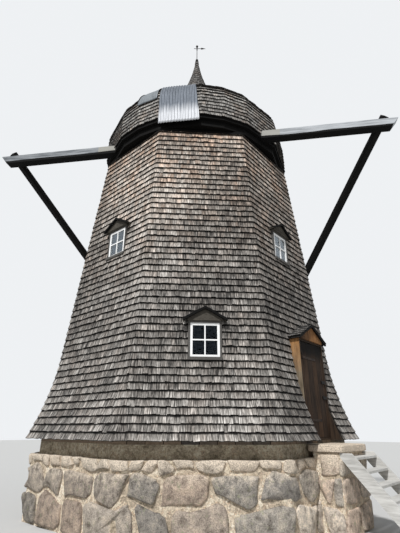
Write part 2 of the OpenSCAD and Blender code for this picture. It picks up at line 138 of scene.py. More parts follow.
def on_cap(run_up):
    """Distance from the axis, height and outward direction of the cap's outline at the given runs."""
    run, rib, height = cap_line()
    slope = line_slope(run, rib, height)
    away = np.interp(run_up, run, slope[1]), -np.interp(run_up, run, slope[0])
    return np.interp(run_up, run, rib), np.interp(run_up, run, height), away


# Meshes

def mesh_piece(name, points, faces, body, finish, grain=None, tone=None, smooth=False, weld=False):
    """Puts arrays of points and four-sided faces into one mesh at the origin and lets it ride on a body."""
    mesh = bpy.data.meshes.new(name)
    count = len(faces)
    mesh.vertices.add(len(points))
    mesh.vertices.foreach_set("co", np.ascontiguousarray(points, dtype=np.float32).ravel())
    mesh.loops.add(4 * count)
    mesh.loops.foreach_set("vertex_index", np.ascontiguousarray(faces, dtype=np.int32).ravel())
    mesh.polygons.add(count)
    mesh.polygons.foreach_set("loop_start", 4 * np.arange(count, dtype=np.int32))
    mesh.polygons.foreach_set("use_smooth", np.full(count, smooth))
    if grain is not None:
        layer = mesh.uv_layers.new(name="grain")
        layer.uv.foreach_set("vector", np.ascontiguousarray(grain, dtype=np.float32).ravel())
    if tone is not None:
        layer = mesh.color_attributes.new(name="tone", type="FLOAT_COLOR", domain="CORNER")
        layer.data.foreach_set("color", np.ascontiguousarray(tone, dtype=np.float32).ravel())
    mesh.update(calc_edges=True)
    piece = bpy.data.objects.new(name, mesh)
    bpy.context.scene.collection.objects.link(piece)
    if weld:
        weld_seams(mesh)
    mesh.materials.append(finish)
    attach(piece, body)
    return piece


def weld_seams(mesh):
    """Merges the doubled points along seams and poles and turns the faces outwards."""
    work = bmesh.new()
    work.from_mesh(mesh)
    bmesh.ops.remove_doubles(work, verts=work.verts, dist=1e-5)
    bmesh.ops.dissolve_degenerate(work, edges=work.edges, dist=1e-6)
    bmesh.ops.recalc_face_normals(work, faces=work.faces)
    work.to_mesh(mesh)
    work.free()


def turned(points, angle):
    """Turns local (along, out, height) to the side of the mill at an angle from the door side."""
    along, out, height = points[..., 0], points[..., 1], points[..., 2]
    sine, cosine = np.sin(angle), np.cos(angle)
    return np.stack([along * cosine + out * sine, along * sine - out * cosine, height], axis=-1)


def powered(value, power):
    """Raises a value's size to a power and keeps its sign, as a superellipse needs."""
    return np.sign(value) * np.abs(value) ** power


def grid_faces(rows, columns, around=False, copies=1):
    """Four-sided faces of a grid of points, its last column joined to the first where it goes around."""
    spare = 0 if around else 1
    i, j = np.meshgrid(np.arange(rows - 1), np.arange(columns - spare), indexing="ij")
    k = (j + 1) % columns
    one = np.stack([i * columns + j, i * columns + k, (i + 1) * columns + k, (i + 1) * columns + j], axis=-1)
    start = np.arange(copies)[:, None, None] * rows * columns
    return (one.reshape(1, -1, 4) + start).reshape(-1, 4)


# Corners of a wedge are numbered side + 2 * end + 4 * skin. Face 2 is its butt, faces 4 and 5 are its sides
WEDGE = np.array([[4, 5, 7, 6], [0, 2, 3, 1], [0, 1, 5, 4], [2, 6, 7, 3], [0, 4, 6, 2], [1, 3, 7, 5]])


def wedge_meshes(corners, across, along, tone):
    """Closed six-faced wedges from arrays of eight corners each. Their grain runs across from side to side
    and along from end to end. Alpha beside the three tones marks the butt as end grain, the sides in part,
    for a dark that is partly painted shade."""
    count = len(corners)
    faces = (WEDGE[None] + 8 * np.arange(count)[:, None, None]).reshape(-1, 4)
    grain = np.empty((count, 2, 2, 2, 2))
    grain[..., 0] = across[:, None, None, :]
    grain[..., 1] = along[:, None, :, None]
    corner_grain = grain.reshape(count, 8, 2)[:, WEDGE]
    face_tone = np.zeros((count, 6, 4, 4))
    face_tone[..., :3] = tone[:, None, None, :]
    # Marks for dark end grain and painted shade on the butt and, in part, on the sides
    face_tone[:, 2, :, 3] = 1.0
    face_tone[:, 4:, :, 3] = 0.6
    return corners.reshape(-1, 3), faces, corner_grain.reshape(-1, 2), face_tone.reshape(-1, 4)


def joined(parts):
    """Joins the arrays of several meshes into one, moving the face numbers along."""
    points, faces, *layers = zip(*parts)
    starts = np.cumsum([0] + [len(p) for p in points[:-1]])
    moved = [f + start for f, start in zip(faces, starts)]
    return [np.concatenate(arrays) for arrays in (points, moved, *layers)]


# Shingles

def shingle_piece(name, body, parts, finish):
    """Joins the wedges of several parts into one piece."""
    points, faces, grain, tone = joined(parts)
    piece = mesh_piece(name, points, faces, body, finish, grain, tone)


def shingle_rows(rng, half_width, width):
    """Joints of each row: random widths summed across and stretched to meet both corners."""
    count = np.maximum(1, np.round(2 * half_width / width)).astype(int)
    slots = count.max()
    widths = rng.uniform(0.62, 1.38, (len(half_width), slots)) * (np.arange(slots) < count[:, None])
    joints = np.concatenate([np.zeros((len(half_width), 1)), np.cumsum(widths, axis=1)], axis=1)
    joints = (2 * joints / joints[:, -1:] - 1) * half_width[:, None]
    row = np.repeat(np.arange(len(half_width)), slots).reshape(widths.shape)
    used = widths > 0
    return joints[:, :-1][used], joints[:, 1:][used], row[used]


def cut_hole(sides, ends, row, exposure, hole):
    """Splits the shingles that meet a hole: whole beside it, cut short below it, and lifted to its top
    above it. A sliver narrower or shorter than one can nail is left out."""
    narrowest, shortest = 0.012, 0.03
    left, right, low, high = hole
    meets = (ends[0] < high) & (ends[1] > low) & (sides[1] > left) & (sides[0] < right)
    free, met = np.flatnonzero(~meets), np.flatnonzero(meets)
    parts = [(sides[:, free], ends[:, free], row[free], free)]
    for kind in ("left", "right", "inside"):
        part_sides, part_ends = sides[:, met], ends[:, met]
        if kind == "left":
            part_sides[1] = np.minimum(part_sides[1], left)
        elif kind == "right":
            part_sides[0] = np.maximum(part_sides[0], right)
        else:
            part_sides[0] = np.maximum(part_sides[0], left)
            part_sides[1] = np.minimum(part_sides[1], right)
            below = part_ends[0] < low
            part_ends[1] = np.where(below, np.minimum(part_ends[1], low), part_ends[1])
            part_ends[0] = np.where(below, part_ends[0], np.maximum(part_ends[0], high))
            keep = below | (part_ends[0] - ends[0][met] < exposure - shortest)
            part_ends[:, ~keep] = 0
        good = (part_sides[1] - part_sides[0] > narrowest) & (part_ends[1] - part_ends[0] > shortest)
        parts.append((part_sides[:, good], part_ends[:, good], row[met][good], met[good]))
    return [np.concatenate(arrays, axis=-1) for arrays in zip(*parts)]


def shingle_side(line, half, angle, butts, seed, width=0.088, reach=0.30, holes=(), warm=0.5, top=None):
    """Rows of split shingles on one flat side. Each is a straight wedge from the line pushed out at its
    butt to the line nearly bare at its hidden tip; its sides stop where the neighbouring side's plane meets
    this one."""
    rng = np.random.default_rng(seed)
    run, out, height = line
    slope = line_slope(run, out, height)
    half_width = np.interp(butts, run, out) * np.tan(half) + 0.02
    left, right, row = shingle_rows(rng, half_width, width)
    count = len(left)
    first = butts[row] + rng.normal(0, 0.004, count)
    last = np.minimum(first + reach, run[-1] if top is None else top)
    sides, ends, source = np.stack([left, right]), np.stack([first, last]), np.arange(count)
    steps = np.gradient(butts)
    for hole in holes:
        sides, ends, row, pick = cut_hole(sides, ends, row, steps[0], hole)
        source = source[pick]
    first, last = first[source], last[source]
    sides = sides + np.array([[0.5], [-0.5]]) * rng.uniform(0.001, 0.0035, count)[source]
    lift = BUTT_LIFT + rng.normal(0, 0.003, count)[source]
    skew = rng.normal(0, 0.003, (count, 2))[source].T
    away = np.interp(first, run, slope[1]), -np.interp(first, run, slope[0])
    corners = np.empty((len(row), 2, 2, 2, 3))
    for end in (0, 1):
        share = (ends[end] - first) / np.maximum(last - first, 1e-6)
        foot_out, foot_up = (np.interp(first, run, v) * (1 - share) + np.interp(last, run, v) * share
                             for v in (out, height))
        for skin in (0, 1):
            push = lift[skin] * (1 - share) + TIP_LIFT[skin] * share
            side_out = foot_out + away[0] * push
            limit = side_out * np.tan(half)
            for side in (0, 1):
                drop = skew[side] if end == 0 else 0
                corners[:, skin, end, side, 0] = np.clip(sides[side], -limit, limit)
                corners[:, skin, end, side, 1] = side_out
                corners[:, skin, end, side, 2] = foot_up + away[1] * push + drop
    tone = np.stack([rng.beta(2.2, 2.6, count), rng.beta(1.6, 2.4, count) * warm * 2, rng.random(count)], -1)
    across, along = (sides - sides[0]).T, ((ends - first) / steps[row]).T
    return wedge_meshes(turned(corners, angle), across, along, tone[source])


def tower_butts():
    """Heights of the courses: the step grows evenly from 139 mm at the skirt to 158 mm under the cap."""
    rows, step, growth, drip = 51, 0.1388, 0.0001915, 0.012
    i = np.arange(rows)
    return i * step + i * i * growth - drip


def opening_holes(angle):
    """Windows and doorway of one side as left, right, low and high edges over the skirt."""
    half, apron, under_skirt = WINDOW_SIZE[0] / 2 + TRIM, 0.056, -0.2
    holes = [(x - half, x + half, z - apron, z + WINDOW_SIZE[1] + TRIM) for a, x, z in WINDOWS if a == angle]
    if angle == 0:
        holes.append((DOOR_MIDDLE - DOOR_HALF, DOOR_MIDDLE + DOOR_HALF, under_skirt, DOOR_TOP))
    return holes


def tower_shingles(finish):
    """Eight shingled sides in two pieces, each side from the flared line and its own row of openings."""
    line, butts = tower_line(), tower_butts()
    for name, angles in (("front_shingles", (-90, -45, 0, 45)), ("back_shingles", (90, 135, 180, 225))):
        parts = [shingle_side(line, HALF_SIDE, np.radians(a), butts, 100 + a, holes=opening_holes(a),
                              top=TOWER_TOP - 0.05) for a in angles]
        shingle_piece(name, "tower", parts, finish)


def cap_shingles(finish):
    """Eighteen shingled facets between the cap's ribs, the courses even along the outline from eave to
    spire."""
    run, rib, height = cap_line()
    butts = np.arange(FIRST_CAP_BUTT, run[-1] - 0.05, CAP_COURSE)
    edges = np.concatenate([CAP_RIBS, CAP_RIBS + np.pi, CAP_RIBS[:1] + 2 * np.pi])
    parts = []
    for k, (begin, end) in enumerate(zip(edges[:-1], edges[1:])):
        half, middle = (end - begin) / 2, (end + begin) / 2
        holes = [hole for place, hole in CAP_HOLES.items() if abs(place - np.degrees(middle)) < 1]
        line = (run, rib * np.cos(half), height)
        parts.append(shingle_side(line, half, middle + CAP_TURN, butts, 300 + k, 0.10, 0.24, holes, warm=0.3))
    shingle_piece("cap_shingles", "cap", parts, finish)


def spire_shingles(finish):
    """Rows of small shingles round the spire; its radius falls as the power 1.6 of the height left to the
    tip."""
    rng = np.random.default_rng(41)
    rows, reach, width = 17, 0.105, 0.085
    tip_radius, spread = 0.045, 0.732
    parts = []
    for i, t in enumerate(np.linspace(0.0, 0.90, rows)):
        ends = np.array([t, min(t + reach, 1.0)])
        z = SPIRE_FOOT + SKIRT + SPIRE_RISE * ends
        radius = tip_radius + spread * (1 - ends) ** 1.6
        count = max(7, int(round(2 * np.pi * radius[0] / width)))
        shift = rng.uniform(-0.12, 0.12, count) / count * 2 * np.pi
        joints = np.linspace(0, 2 * np.pi, count + 1)[:-1] + shift + i * 0.37
        wide = np.diff(np.append(joints, joints[0] + 2 * np.pi))
        theta = joints[:, None] + wide[:, None] * np.array([0.01, 0.99])
        low = z[0] + rng.normal(0, 0.004, count)[:, None]
        corners = np.empty((count, 2, 2, 2, 3))
        for skin, pushes in enumerate(((0.006, 0.0), (0.020, 0.004))):
            for end, push in enumerate(pushes):
                corners[:, skin, end, :, 0] = (radius[end] + push) * np.sin(theta)
                corners[:, skin, end, :, 1] = -(radius[end] + push) * np.cos(theta)
                corners[:, skin, end, :, 2] = low if end == 0 else z[1]
        tone = np.stack([rng.beta(2, 3.2, count), rng.beta(1.6, 3, count) * 0.6, rng.random(count)], -1)
        across, along = (theta - theta[:, :1]) * radius[0], np.array([[0, 2.0]])
        parts.append(wedge_meshes(corners, across, along, tone))
    shingle_piece("spire_shingles", "cap", parts, finish)


# Hoods over the windows and the door

def hood_places():
    """Each hood as angle, middle, foot height, half width, rise, upright board measure, wall behind, front
    of the filled triangle and front of the boards."""
    half, rise, board = 0.43, 0.24, 0.0321
    overhang, set_back, bite = 0.095, 0.045, 0.01
    places = []
    for angle, x, sill in WINDOWS:
        foot = sill + WINDOW_SIZE[1] + TRIM
        wall = WALL_OUT - WALL_LEAN * (foot + 0.2) - bite
        casing_face = 2.9655 if sill > 3 else 3.205
        front = casing_face + overhang
        places.append((angle, x, foot + SKIRT, half, rise, board, wall, front - set_back, front))
    board, wall, fill, front = 0.0364, 3.09, 3.412, 3.447
    door_hood = (0, DOOR_MIDDLE, DOOR_HOOD_FOOT, DOOR_HOOD_HALF, DOOR_HOOD_RISE, board, wall, fill, front)
    return places + [door_hood]


def hood_boards(finish):
    """Thin tarred boards over each hood, round its front edge and back under it to the filled triangle: a
    hooked outline carried up one slope and down the other, mitred at the ridge, its height eased by a slow
    sine wave."""
    rows, cover, skin = 21, 0.011, 0.001
    t = np.linspace(-1, 1, rows)
    end_faces = np.array([[0, 1, 6, 7], [1, 2, 5, 6], [2, 3, 4, 5]])
    faces = np.concatenate([grid_faces(rows, 8, around=True), end_faces, 8 * (rows - 1) + end_faces[:, ::-1]])
    parts = []
    for angle, middle, foot, half, rise, edge, wall, fill, front in hood_places():
        lip, under = front + 0.007, -edge - 0.012
        hook = np.array([[wall, cover], [lip, cover], [lip, under], [fill, under], [fill, -edge - skin],
                         [front + skin, -edge - skin], [front + skin, skin], [wall, skin]])
        x = t * (half + 0.012)
        top = foot + edge + rise * (1 - np.abs(x) / half)
        top = top + 0.002 * (1 + np.sin(9 * t + angle))
        corners = np.broadcast_arrays(middle + x[:, None], hook[:, 0], top[:, None] + hook[:, 1])
        parts.append((turned(np.stack(corners, -1), np.radians(angle)).reshape(-1, 3), faces))
    points, faces = joined(parts)
    piece = mesh_piece("hood_boards", points, faces, "tower", finish, weld=True)


def hood_shingles(finish):
    """Five rows of small shingles up each slope of the door's hood, straight wedges laid on the covering
    boards."""
    rng = np.random.default_rng(23)
    rows, reach = 5, 0.21
    drip, crown, gap = 0.02, 0.13, 0.002
    edge, wall, _, front = hood_places()[-1][5:]
    length = np.hypot(DOOR_HOOD_HALF, DOOR_HOOD_RISE)
    across, up = DOOR_HOOD_HALF / length, DOOR_HOOD_RISE / length
    parts = []
    for way in (-1, 1):
        butts = np.repeat(np.linspace(-drip, length - crown, rows), rows)
        joints = np.linspace(wall, front + 0.012, rows + 1)
        joints[1:-1] += rng.uniform(-0.015, 0.015, rows - 1)
        near, far = np.tile(joints[:-1], rows) + gap, np.tile(joints[1:], rows) - gap
        count = len(butts)
        first = butts + rng.normal(0, 0.004, count)
        last = np.minimum(first + reach, length)
        corners = np.empty((count, 2, 2, 2, 3))
        for skin, pushes in enumerate(((0.012, 0.012), (0.028, 0.016))):
            for end, (place, push) in enumerate(zip((first, last), pushes)):
                from_middle = DOOR_HOOD_HALF * (1 - place / length) + push * up
                corners[:, skin, end, :, 0] = (DOOR_MIDDLE + way * from_middle)[:, None]
                corners[:, skin, end, :, 1] = np.stack([near, far], -1)
                corners[:, skin, end, :, 2] = (DOOR_HOOD_FOOT + edge + place * up + push * across)[:, None]
        if way > 0:
            corners = corners[:, :, :, ::-1]
        tone = np.stack([rng.beta(2, 3, count), 0.1 + 0 * first, rng.random(count)], -1)
        widths = np.stack([0 * near, far - near], -1)
        parts.append(wedge_meshes(turned(corners, 0), widths, np.array([[0, 1.5]]), tone))
    shingle_piece("hood_shingles", "tower", parts, finish)


# Stone

def fieldstones(name, joints, lines, bulge, seed, place, finish):
    """Closed split boulders in rough courses. Each fills a cell between two slanted joints and two wavy bed
    lines: a superellipse squared towards its cell, pressed flat in front, its face broken by a few tilted
    planes and slow sine waves. place(along, height, depth) bends the flat layout onto the wall behind."""
    rings, spokes = 9, 28
    rng = np.random.default_rng(seed)
    left = np.concatenate([row[:-1] for row in joints])[:, None, None]
    right = np.concatenate([row[1:] for row in joints])[:, None, None]
    course = np.repeat(np.arange(len(joints)), [len(row) - 1 for row in joints])[:, None, None]
    count = len(left)
    theta = (np.pi * np.linspace(0, 1, rings) ** 0.85)[None, :, None]
    phi = (np.arange(spokes) + 0.5)[None, None, :] * 2 * np.pi / spokes
    square = rng.uniform(0.22, 0.50, (count, 1, 1))
    wave = rng.uniform(0, 2 * np.pi, (7, count, 1, 1))
    wobble = 1 + 0.06 * np.sin(2 * phi + wave[0]) + 0.05 * np.sin(3 * phi + wave[1])
    wobble = wobble + 0.03 * np.sin(7 * phi + wave[2])
    ring = powered(np.sin(theta), 0.30) * np.minimum(wobble, 1.05)
    u = ring * powered(np.cos(phi), square) * 0.90
    v = ring * powered(np.sin(phi), square) * 0.87
    slant = rng.normal(0, 0.055, (2, count, 1, 1))
    left, right = left + slant[0] * v, right + slant[1] * v
    along = left + (right - left) * (u + 1) / 2
    low, high = lines(course, along), lines(course + 1, along)
    height = low + (high - low) * (v + 1) / 2
    lean = rng.uniform(0, 2 * np.pi, (3, count, 1, 1)) + np.array([0, 2.1, 4.2])[:, None, None, None]
    drop = rng.uniform(0.15, 0.75, (3, count, 1, 1))
    planes = (1.0 - drop * np.maximum(u * np.cos(lean) + v * np.sin(lean) - 0.15, 0)).min(axis=0)
    swell = np.sin(3.2 * u + wave[3]) * np.sin(2.7 * v + wave[4])
    waves = 0.16 * (swell + 0.6 * np.sin(8 * u - 6 * v + wave[5]))
    front = powered(np.cos(theta), 0.45)
    depth = np.where(theta < np.pi / 2, front * (planes + waves), front) * bulge[course]
    tone = np.repeat(rng.random((count, 4)), (rings - 1) * spokes * 4, axis=0)
    faces = grid_faces(rings, spokes, around=True, copies=count)
    points = place(along, height, depth).reshape(-1, 3)
    piece = mesh_piece(name, points, faces, "tower", finish, tone=tone, smooth=True, weld=True)


def round_plinth(along, height, depth):
    """Wraps a flat layout round the eight-sided plinth: straight on each side, the outward direction easing
    near the corner to the corner's bisector."""
    corner = 0.12
    length = 2 * PLINTH * np.tan(HALF_SIDE)
    side = np.floor(along / length)
    t = along - (side + 0.5) * length
    ease = np.clip((np.abs(t) - length / 2 + corner) / corner, 0, 1)
    ease = ease * ease * (3 - 2 * ease)
    angle = side * 2 * HALF_SIDE
    lean = angle + np.sign(t) * HALF_SIDE * ease
    x = t * np.cos(angle) + PLINTH * np.sin(angle) + depth * np.sin(lean)
    y = t * np.sin(angle) - PLINTH * np.cos(angle) - depth * np.cos(lean)
    return np.stack([x, y, height], axis=-1)


def plinth_stones(finish):
    """Three rough courses of split boulders round the plinth; their bed lines wave with whole turns per
    round."""
    rng = np.random.default_rng(5)
    length = 16 * PLINTH * np.tan(HALF_SIDE)
    joints = []
    for width in (0.86, 0.70, 0.40):
        widths = rng.uniform(0.55, 1.5, int(round(length / width)))
        round_joints = np.concatenate([[0], np.cumsum(widths)]) / widths.sum() * length
        joints.append(round_joints + rng.uniform(0, width))
    level = np.array([0.0, 0.56, 1.03, 1.225])
    sway = np.array([0.0, 0.07, 0.045, 0.0])

    def lines(k, along):
        """Bed line k: its level and two sine waves along the round."""
        turn = 2 * np.pi * along / length
        return level[k] + sway[k] * (np.sin(19 * turn + 2 * k) + np.sin(31 * turn + 5 * k)) / 1.4

    fieldstones("plinth_stones", joints, lines, np.array([0.085, 0.07, 0.055]), 6, round_plinth, finish)


def pier_stones(finish):
    """Split stones on the pier's front, lapping its corners, and on its two sides; their bed lines wave
    slowly."""
    low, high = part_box("landing_pier")
    back, front, lap = -3.56, low[1], 0.045
    level = np.array([0.0, 0.47, 0.90, 1.29])
    sway = np.array([0.0, 0.03, 0.03, 0.0])
    bulge = np.array([0.06, 0.055, 0.045])

    def lines(k, along):
        """Bed line k: its level and a sine wave along the wall."""
        return level[k] + sway[k] * np.sin(4 * along + 3 * k)

    def on_front(along, height, depth):
        """Runs to the right over the front, depth forwards."""
        return np.stack([low[0] - lap + along, front - depth, height], -1)

    def on_left(along, height, depth):
        """Runs forwards over the left side, depth to the left."""
        return np.stack([low[0] - depth, back - along, height], -1)

    def on_right(along, height, depth):
        """Runs backwards over the right side, depth to the right."""
        return np.stack([high[0] + depth, front + along, height], -1)

    width, reach = high[0] - low[0] + 2 * lap, back - front
    across = [width * np.array(joints) for joints in ((0, 0.46, 1), (0, 0.58, 1), (0, 0.38, 0.72, 1))]
    inwards = [reach * np.array(joints) for joints in ((0, 1), (0, 0.55, 1), (0, 1))]
    fieldstones("pier_front_stones", across, lines, bulge, 9, on_front, finish)
    fieldstones("pier_left_stones", inwards, lines, bulge, 10, on_left, finish)
    fieldstones("pier_right_stones", inwards, lines, bulge, 11, on_right, finish)


def slab_stone(node, finish, seed):
    """A split slab: a superellipsoid squared nearly to a block, with slow waves, in the CAD slab's box."""
    rings, spokes, square = 29, 72, 0.16
    low, high = (np.array(v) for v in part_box(node))
    rng = np.random.default_rng(seed)
    theta = np.linspace(0, np.pi, rings)[:, None]
    phi = np.linspace(0, 2 * np.pi, spokes, endpoint=False)[None, :]
    ring = powered(np.sin(theta), square)
    unit = np.stack([ring * powered(np.cos(phi), square), ring * powered(np.sin(phi), square),
                     powered(np.cos(theta), square) + 0 * phi], -1)
    p = (low + high) / 2 + unit * (high - low) / 2
    x, y = p[..., 0], p[..., 1]
    a = rng.uniform(0, 6.28, 3)
    slow = 0.006 * np.sin(9 * x + a[0]) * np.sin(11 * y + a[1])
    shrink = 0.010 + slow + 0.004 * np.sin(31 * x + 23 * y + a[2])
    p = p - unit * shrink[..., None] * np.array([1, 1, 0.5])
    tone = np.full((4 * (rings - 1) * spokes, 4), 0.55)
    faces = grid_faces(rings, spokes, around=True)
    piece = mesh_piece("stone_" + node, p.reshape(-1, 3), faces, "tower", finish, tone=tone, smooth=True,
                       weld=True)
    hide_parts(node)


# Sheets on the cap

def roof_sheet(name, node, edges, span, lift, wave, pitch, finish):
    """Metal sheet on one facet: the outline pushed out, its ribs a sine wave across, rows down the slope.
    edges gives the left and the right edge's angle at the foot and at the top, so a sheet may lie askew."""
    rows, columns = 40, 181 if wave else 25
    middle, half = np.radians(FACETS[node])
    run_up = np.linspace(*span, rows)[:, None]
    part = (run_up - span[0]) / (span[1] - span[0])
    distance, z, away = on_cap(run_up)
    distance = distance * np.cos(half)
    share = np.linspace(0, 1, columns)
    left, right = (distance * np.tan(np.radians(foot + (top - foot) * part) - middle) for foot, top in edges)
    across = left * (1 - share) + right * share
    push = lift + wave * np.sin(2 * np.pi * across / pitch) + 0.006 * np.sin(6 * share)
    p = np.stack([across, distance + away[0] * push, z + away[1] * push], -1)
    points = turned(p, middle + CAP_TURN).reshape(-1, 3)
    piece = mesh_piece(name, points, grid_faces(rows, columns), "cap", finish, smooth=True)
    thick = piece.modifiers.new("gauge", "SOLIDIFY")
    thick.thickness = 0.003
    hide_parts(node)


def rolled_edge(name, angle, begin, end, lift, radius, finish):
    """A rolled seam: a tube of small circles carried along the cap's outline at one angle, its ends drawn
    in."""
    rings, spokes = 26, 10
    distance, z, away = on_cap(np.linspace(begin, end, rings)[:, None])
    turn = np.linspace(0, 2 * np.pi, spokes, endpoint=False)
    size = radius * np.sin(np.pi * np.linspace(0, 1, rings)[:, None]) ** 0.2
    push = lift + size * np.cos(turn)
    p = turned(np.stack([size * np.sin(turn), distance + away[0] * push, z + away[1] * push], -1),
               np.radians(angle) + CAP_TURN)
    faces = grid_faces(rings, spokes, around=True)
    piece = mesh_piece(name, p.reshape(-1, 3), faces, "cap", finish, smooth=True, weld=True)


# Finishes

def fill(tree, socket, value):
    """Links a socket to another node's output, or sets its own value."""
    if isinstance(value, bpy.types.NodeSocket):
        tree.links.new(value, socket)
    elif socket.type == "RGBA":
        socket.default_value = (*value, 1)
    else:
        socket.default_value = value


def add_node(tree, kind, sockets=(), **settings):
    """Adds a node, makes its settings, and then fills its sockets by name or number."""
    new = tree.nodes.new("ShaderNode" + kind)
    for key, value in settings.items():
        setattr(new, key, value)
    for key, value in dict(sockets).items():
        fill(tree, new.inputs[key], value)
    return new


class Finish:
    """A procedural material while it is put together. Its patterns lie in the piece's own coordinates."""

    def __init__(self, name, roughness=0.8, metallic=0.0, gloss=0.15):
        """Starts a material that has only its roughness, metal and gloss."""
        self.material = bpy.data.materials.new(name)
        self.material.use_nodes = True
        self.tree = self.material.node_tree
        self.shader = self.tree.nodes["Principled BSDF"]
        self.world = self.add("TexCoord").outputs["Object"]
        self.give(Roughness=roughness, Metallic=metallic, Specular_IOR_Level=gloss)

    def add(self, kind, sockets=(), **settings):
        """Adds a node to this material."""
        return add_node(self.tree, kind, sockets, **settings)

    def give(self, **sockets):
        """Fills sockets of the shader itself; an underscore stands for a space in a name."""
        for key, value in sockets.items():
            fill(self.tree, self.shader.inputs[key.replace("_", " ")], value)

    def coat(self, colour, relief, strength, distance):
        """Gives the shader its colour, tilts its surface by a relief and hands over the material."""
        bump = self.add("Bump", {"Height": relief, "Strength": strength, "Distance": distance})
        self.give(Base_Color=colour, Normal=bump.outputs["Normal"])
        return self.material

    def tones(self):
        """The three random numbers of each stone or shingle, and the mark of end grain and painted shade."""
        tone = self.add("Attribute", attribute_name="tone", attribute_type="GEOMETRY")
        parts = self.add("SeparateColor", {"Color": tone.outputs["Color"]}).outputs
        return parts[0], parts[1], parts[2], tone.outputs["Alpha"]

    def split(self, vector=None):
        """X, Y and Z of a vector, or of the piece's coordinates."""
        return self.add("SeparateXYZ", {"Vector": vector or self.world}).outputs

    def stretched(self, scale, vector=None):
        """Coordinates scaled along each axis: a pattern is drawn out along the axis of a small scale."""
        return self.add("Mapping", {"Vector": vector or self.world, "Scale": scale}).outputs[0]

    def maths(self, operation, *values, clamp=False):
        """One calculation with one to three values."""
        return self.add("Math", enumerate(values), operation=operation, use_clamp=clamp).outputs[0]

    def plus(self, first, second, clamp=False):
        """The sum of two values."""
        return self.maths("ADD", first, second, clamp=clamp)

    def times(self, first, second, clamp=False):
        """The product of two values."""
        return self.maths("MULTIPLY", first, second, clamp=clamp)

    def scaled(self, value, size, shift):
        """A value times a size, plus a shift."""
        return self.maths("MULTIPLY_ADD", value, size, shift)

    def swing(self, value, size):
        """A value's distance from one half, made larger or smaller."""
        return self.times(self.maths("SUBTRACT", value, 0.5), size)

    def eased(self, value, low, high, start=0.0, end=1.0):
        """Goes evenly from start to end while the value goes from low to high."""
        span = {"Value": value, "From Min": low, "From Max": high, "To Min": start, "To Max": end}
        return self.add("MapRange", span).outputs[0]

    def noise(self, scale, detail=3.0, rough=0.55, distortion=0.0, vector=None):
        """A noise pattern, as its value."""
        sockets = {"Vector": vector or self.world, "Scale": scale, "Detail": detail, "Roughness": rough,
                   "Distortion": distortion}
        return self.add("TexNoise", sockets).outputs["Fac"]

    def cells(self, scale):
        """Small cells, each with its own grey."""
        colour = self.add("TexVoronoi", {"Vector": self.world, "Scale": scale}).outputs["Color"]
        return self.add("SeparateColor", {"Color": colour}).outputs[0]

    def ramp(self, value, *stops):
        """A colour ramp through the given places and colours."""
        new = self.add("ValToRGB", {"Fac": value})
        band = new.color_ramp
        while len(band.elements) < len(stops):
            band.elements.new(0.5)
        for element, (place, colour) in zip(band.elements, stops):
            element.position = place
            element.color = (*colour, 1)
        return new.outputs["Color"]

    def mixed(self, share, first, second, blend="MIX"):
        """Two colours mixed by a share of the second. The numbers are the colour sockets of the node."""
        return self.add("Mix", {0: share, 6: first, 7: second}, data_type="RGBA", blend_type=blend).outputs[2]

    def tinted(self, colour, tint, share=1.0):
        """A colour multiplied by a tint."""
        return self.mixed(share, colour, tint, "MULTIPLY")


def shingle_finish(name, dark, mid, light, warm, tan=(1.0, 1.0, 1.0)):
    """Weathered split wood: each shingle's own tone, streaks drawn out along its grain, a few warm ones,
    painted highlight paling each shingle towards its butt, dark end grain deepened by painted shade, and a
    painted deep shade where the row above hangs over it. High up it is tinted by tan."""
    look = Finish(name, 0.86)
    own, redness, seed, end_grain_and_shade = look.tones()
    grain = look.split(look.add("UVMap", uv_map="grain").outputs["UV"])
    shifted = look.scaled(seed, 57.0, grain["X"])
    fibre = {"X": look.times(shifted, 62.0), "Y": look.times(grain["Y"], 0.8), "Z": look.times(seed, 31.0)}
    streak = look.noise(1.0, 4.0, 0.62, vector=look.add("CombineXYZ", fibre).outputs[0])
    patch = look.noise(0.55, 2.0, 0.5)
    rise = look.eased(look.split()["Z"], 4.5, 8.8)
    level = look.scaled(own, 0.36, 0.18)
    level = look.plus(level, look.swing(streak, 2.2))
    level = look.plus(level, look.swing(patch, 0.75))
    level = look.plus(level, look.scaled(rise, 0.20, -0.09), clamp=True)
    base = look.ramp(level, (0.0, dark), (0.40, mid), (0.90, light))
    cluster = look.noise(1.9, 3.0, 0.6)
    warmth = look.plus(redness, look.scaled(cluster, 2.6, -1.48))
    warmth = look.times(warmth, look.scaled(rise, 0.95, 0.25), clamp=True)
    base = look.mixed(warmth, base, look.tinted(base, warm, 0.9))
    base = look.mixed(rise, base, look.tinted(base, tan))
    # Painted highlight paling each shingle towards its butt, and painted deep shade under the row above
    shade = look.ramp(grain["Y"], (0.0, (1.18, 1.18, 1.18)), (0.30, (1.02, 1.02, 1.02)),
                      (0.68, (0.88, 0.87, 0.86)), (0.83, (0.03, 0.03, 0.03)))
    base = look.tinted(base, shade)
    # Butts and sides darkened nearly to black: their own dark end grain plus painted shade
    base = look.mixed(look.times(end_grain_and_shade, 0.90), base, (0.010, 0.009, 0.008))
    return look.coat(base, streak, 0.6, 0.005)


